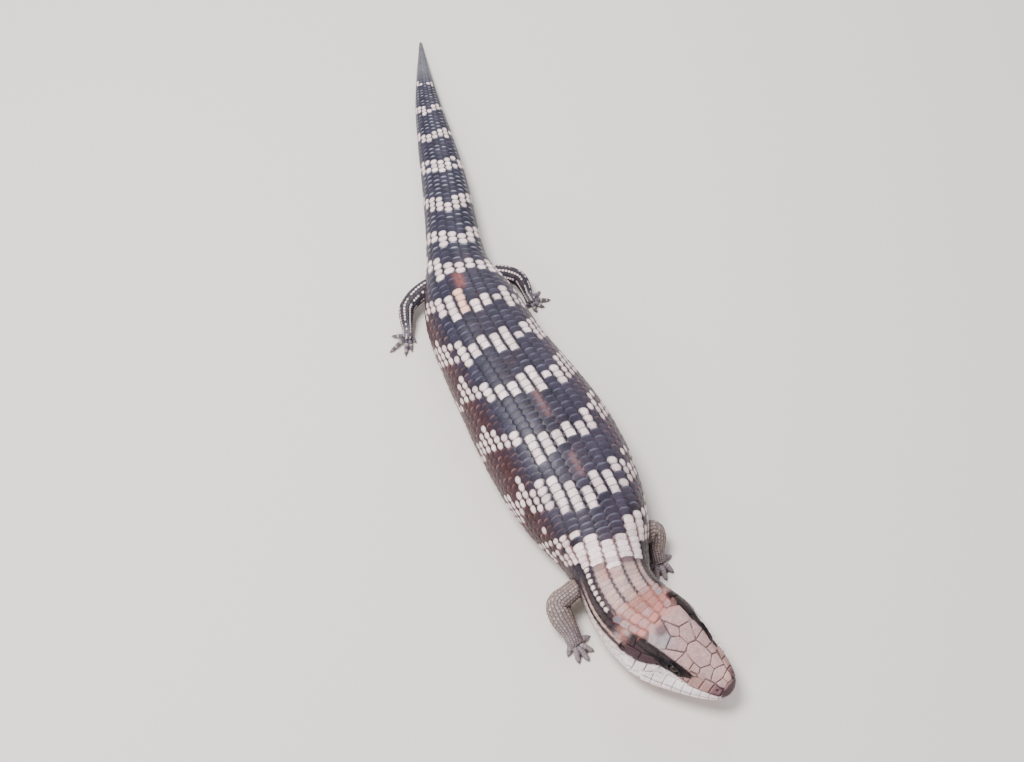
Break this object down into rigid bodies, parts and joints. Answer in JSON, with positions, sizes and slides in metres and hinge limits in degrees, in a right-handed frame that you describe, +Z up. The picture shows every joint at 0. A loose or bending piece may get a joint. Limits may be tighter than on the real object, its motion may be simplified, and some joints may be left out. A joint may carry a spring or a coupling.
{
  "type": "blue-tongued skink",
  "caption": "Life-size still model of a stout, short-legged skink lying on its belly, head turned to its left, with banded scales, shielded head, clawed feet and tapering tail.",
  "frame": {"origin": "the belly's flat underside under the middle of the trunk, on the floor plane", "axes": "+Z up from the floor, -Y toward the head and +Y toward the tail along the trunk, +X toward the animal's left"},
  "size_m": [0.1006, 0.4739, 0.0474],
  "materials": {
    "head_shields": "smooth taupe shields, satin",
    "jaw_scales": "smooth whitish lip and throat scales, satin",
    "neck_scales": "tan scales in lengthwise stripes, satin",
    "body_scales": "glossy dark scales with bands of cream ones",
    "tail_scales": "glossy dark scales with bands of cream ones, blue-grey at the tip",
    "eye": "wet, near black",
    "foreleg_scales": "grey-brown pale-edged scales, satin",
    "forefoot_scales": "pale blue-grey scales, satin",
    "hindleg_scales": "blue-black scales with rows of pale ones, satin",
    "hindfoot_scales": "grey scales, satin"
  },
  "bodies": {
    "root": {"head": "head_shields", "lower_jaw": "jaw_scales", "neck": "neck_scales", "torso_front": "body_scales", "torso_mid": "body_scales", "torso_rear": "body_scales", "tail_base": "tail_scales", "tail_mid": "tail_scales", "tail_tip": "tail_scales", "eye_left": "eye", "eye_right": "eye", "foreleg_left": "foreleg_scales", "foreleg_right": "foreleg_scales", "forefoot_left": "forefoot_scales", "forefoot_right": "forefoot_scales", "hindleg_left": "hindleg_scales", "hindleg_right": "hindleg_scales", "hindfoot_left": "hindfoot_scales", "hindfoot_right": "hindfoot_scales"}
  },
  "joints": []
}
